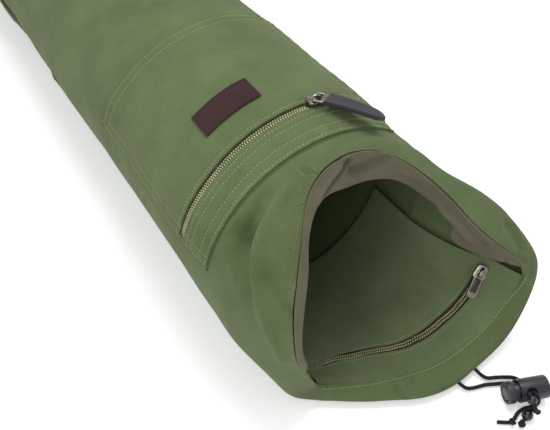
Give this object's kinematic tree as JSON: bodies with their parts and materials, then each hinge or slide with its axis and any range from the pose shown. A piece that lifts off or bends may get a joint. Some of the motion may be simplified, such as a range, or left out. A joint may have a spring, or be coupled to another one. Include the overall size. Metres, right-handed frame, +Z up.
{
  "type": "yoga mat bag",
  "caption": "Round canvas yoga mat bag with a drawstring mouth, cord lock, zipped outer pocket, zipped inner pocket and shoulder strap, lying on its side.",
  "frame": {"origin": "on the flat underside that the bag rests on, half way along its length", "axes": "+Y along the bag away from the mouth, +Z up, +X to the right as seen from the mouth"},
  "size_m": [0.2001, 0.7223, 0.1572],
  "materials": {
    "canvas": "matt green cotton canvas",
    "lining": "light green cotton",
    "facing": "soft olive lining cloth",
    "zip_tape": "woven zip tape with moulded teeth",
    "label": "dark woven label",
    "nickel": "warm nickel",
    "tab": "black stitched webbing",
    "cord": "black braided cord",
    "lock_plastic": "dark grey moulded plastic",
    "bead_plastic": "glossy black"
  },
  "bodies": {
    "bag": {"body_tube": "canvas", "end_panel": "canvas", "mouth_collar": "canvas", "mouth_facing": "facing", "inner_pocket": "lining", "inner_zip_tape": "zip_tape", "inner_zip_slider": "nickel", "outer_pocket": "canvas", "outer_zip_tape": "zip_tape", "outer_zip_slider": "nickel", "label": "label", "shoulder_strap": "canvas", "drawcord_long": "cord", "drawcord_short": "cord", "cord_lock_barrel": "lock_plastic", "cord_bead_near": "bead_plastic", "cord_bead_far": "bead_plastic", "cord_knot_long": "cord", "cord_knot_short": "cord"},
    "outer_pull": {"outer_pull_link": "nickel", "outer_pull_tab": "tab"},
    "inner_pull": {"inner_zip_puller": "nickel"},
    "lock_plunger": {"cord_lock_plunger": "lock_plastic"}
  },
  "joints": [
    {"name": "outer_pull_hinge", "type": "hinge", "parent": "bag", "child": "outer_pull", "pos_m": [0.01017, -0.221, 0.15483], "axis": [-0.7018, -0.7071, 0.0862], "range_deg": [0, 100]},
    {"name": "inner_pull_hinge", "type": "hinge", "parent": "bag", "child": "inner_pull", "pos_m": [0.08429, -0.3032, 0.04403], "axis": [-0.5957, 0.783, 0.179], "range_deg": [0, 110]},
    {"name": "plunger_press", "type": "slide", "parent": "bag", "child": "lock_plunger", "axis": [0.9363, -0.3511, 0], "range_m": [0, 0.003], "stiffness_N_per_m": 1500, "springref_m": -0.001}
  ]
}
